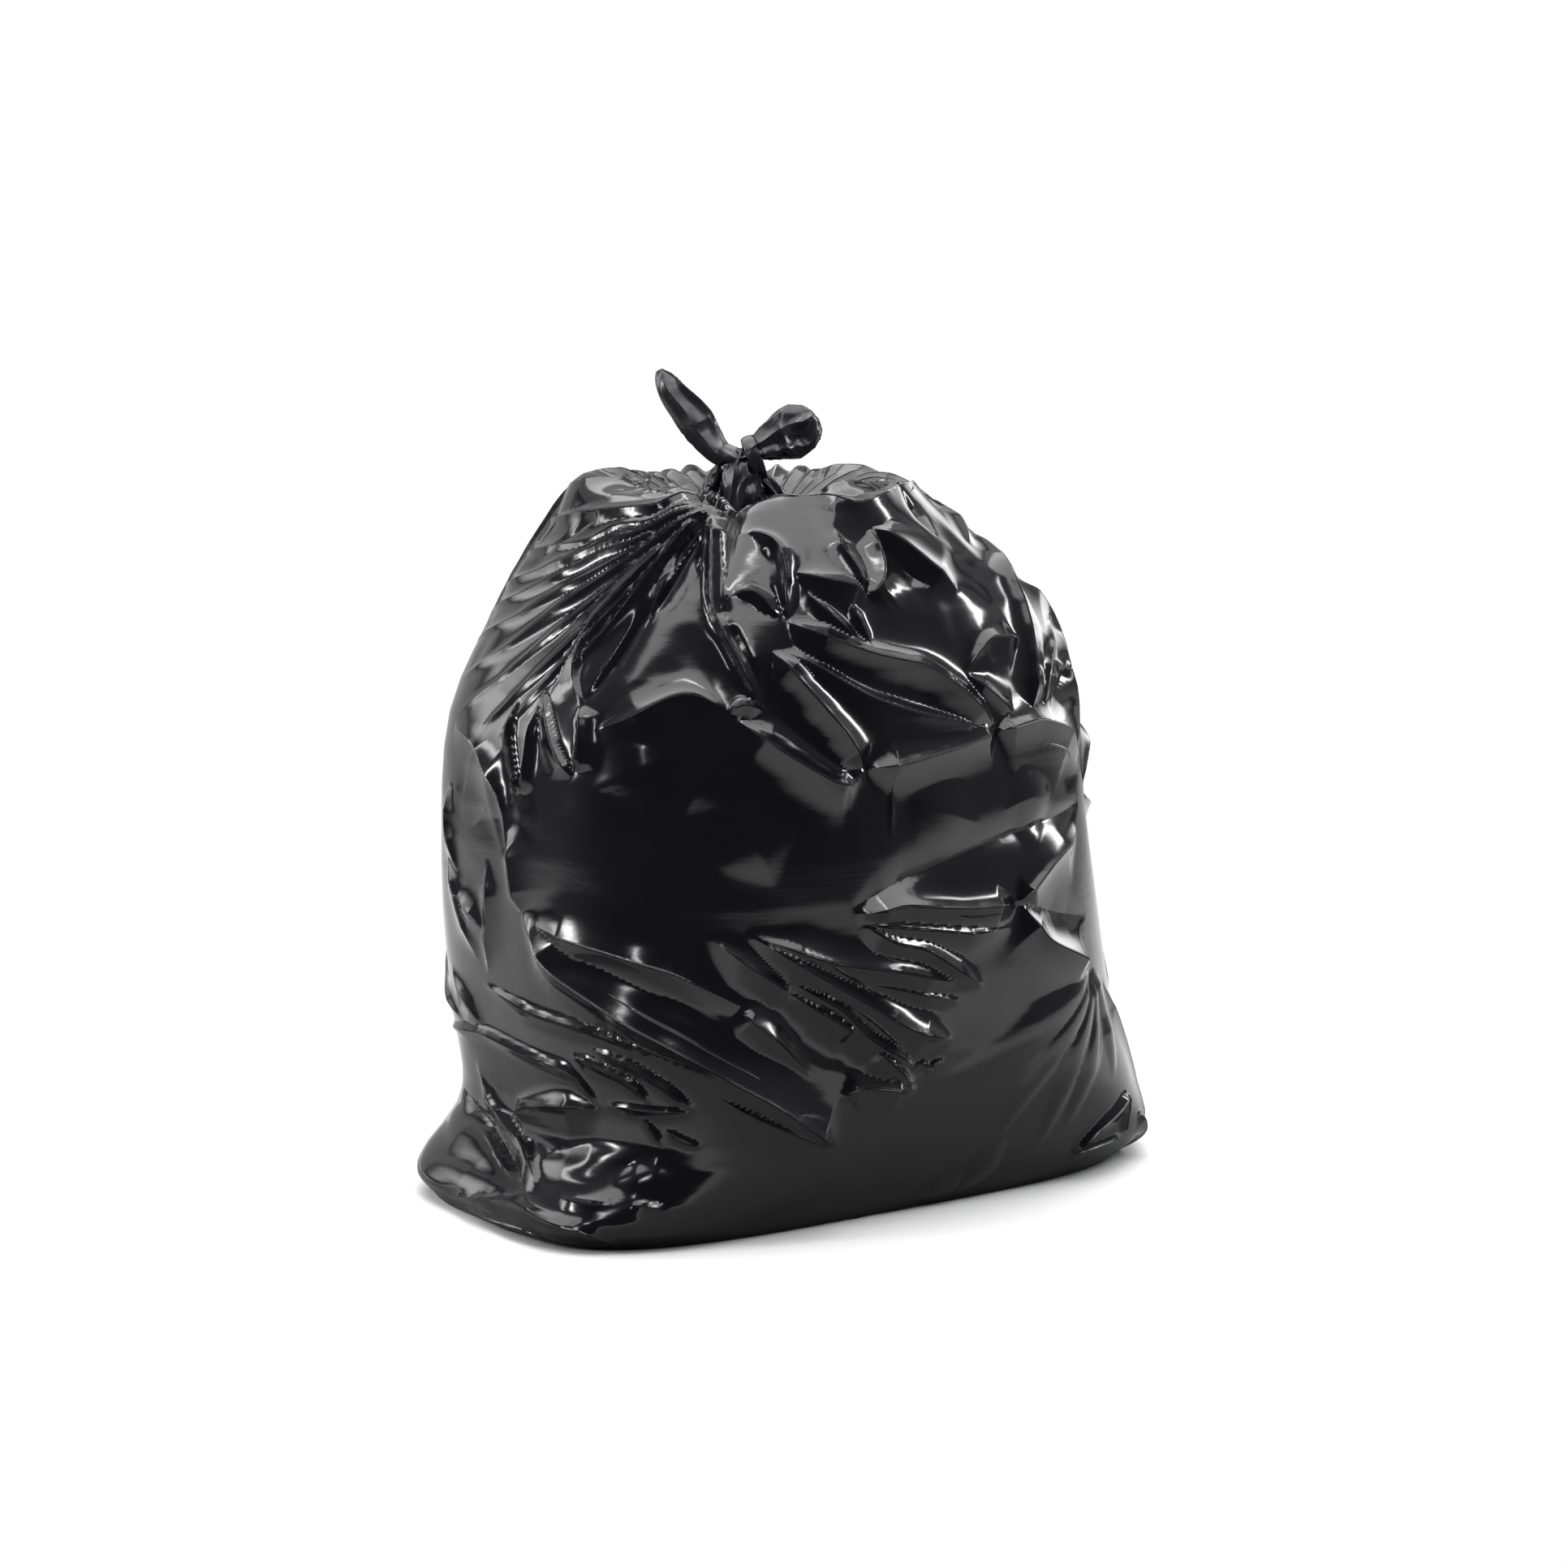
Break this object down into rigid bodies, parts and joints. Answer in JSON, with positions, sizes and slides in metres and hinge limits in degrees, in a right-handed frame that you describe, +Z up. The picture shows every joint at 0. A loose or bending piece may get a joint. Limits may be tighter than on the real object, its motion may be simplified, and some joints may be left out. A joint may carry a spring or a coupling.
{
  "type": "full bin bag",
  "caption": "Full bin bag of black film standing on its flat base, slumped and creased, gathered at the top and tied in its own ears.",
  "frame": {"origin": "on the floor, in the middle of the bag's outline seen from above", "axes": "+Z up, X along the wide side of the bag, -Y the front that the picture shows on its right"},
  "size_m": [0.547, 0.3924, 0.6032],
  "materials": {
    "black_film": "glossy thin polyethylene film, creased"
  },
  "bodies": {
    "root": {"bin_bag": "black_film"}
  },
  "joints": []
}
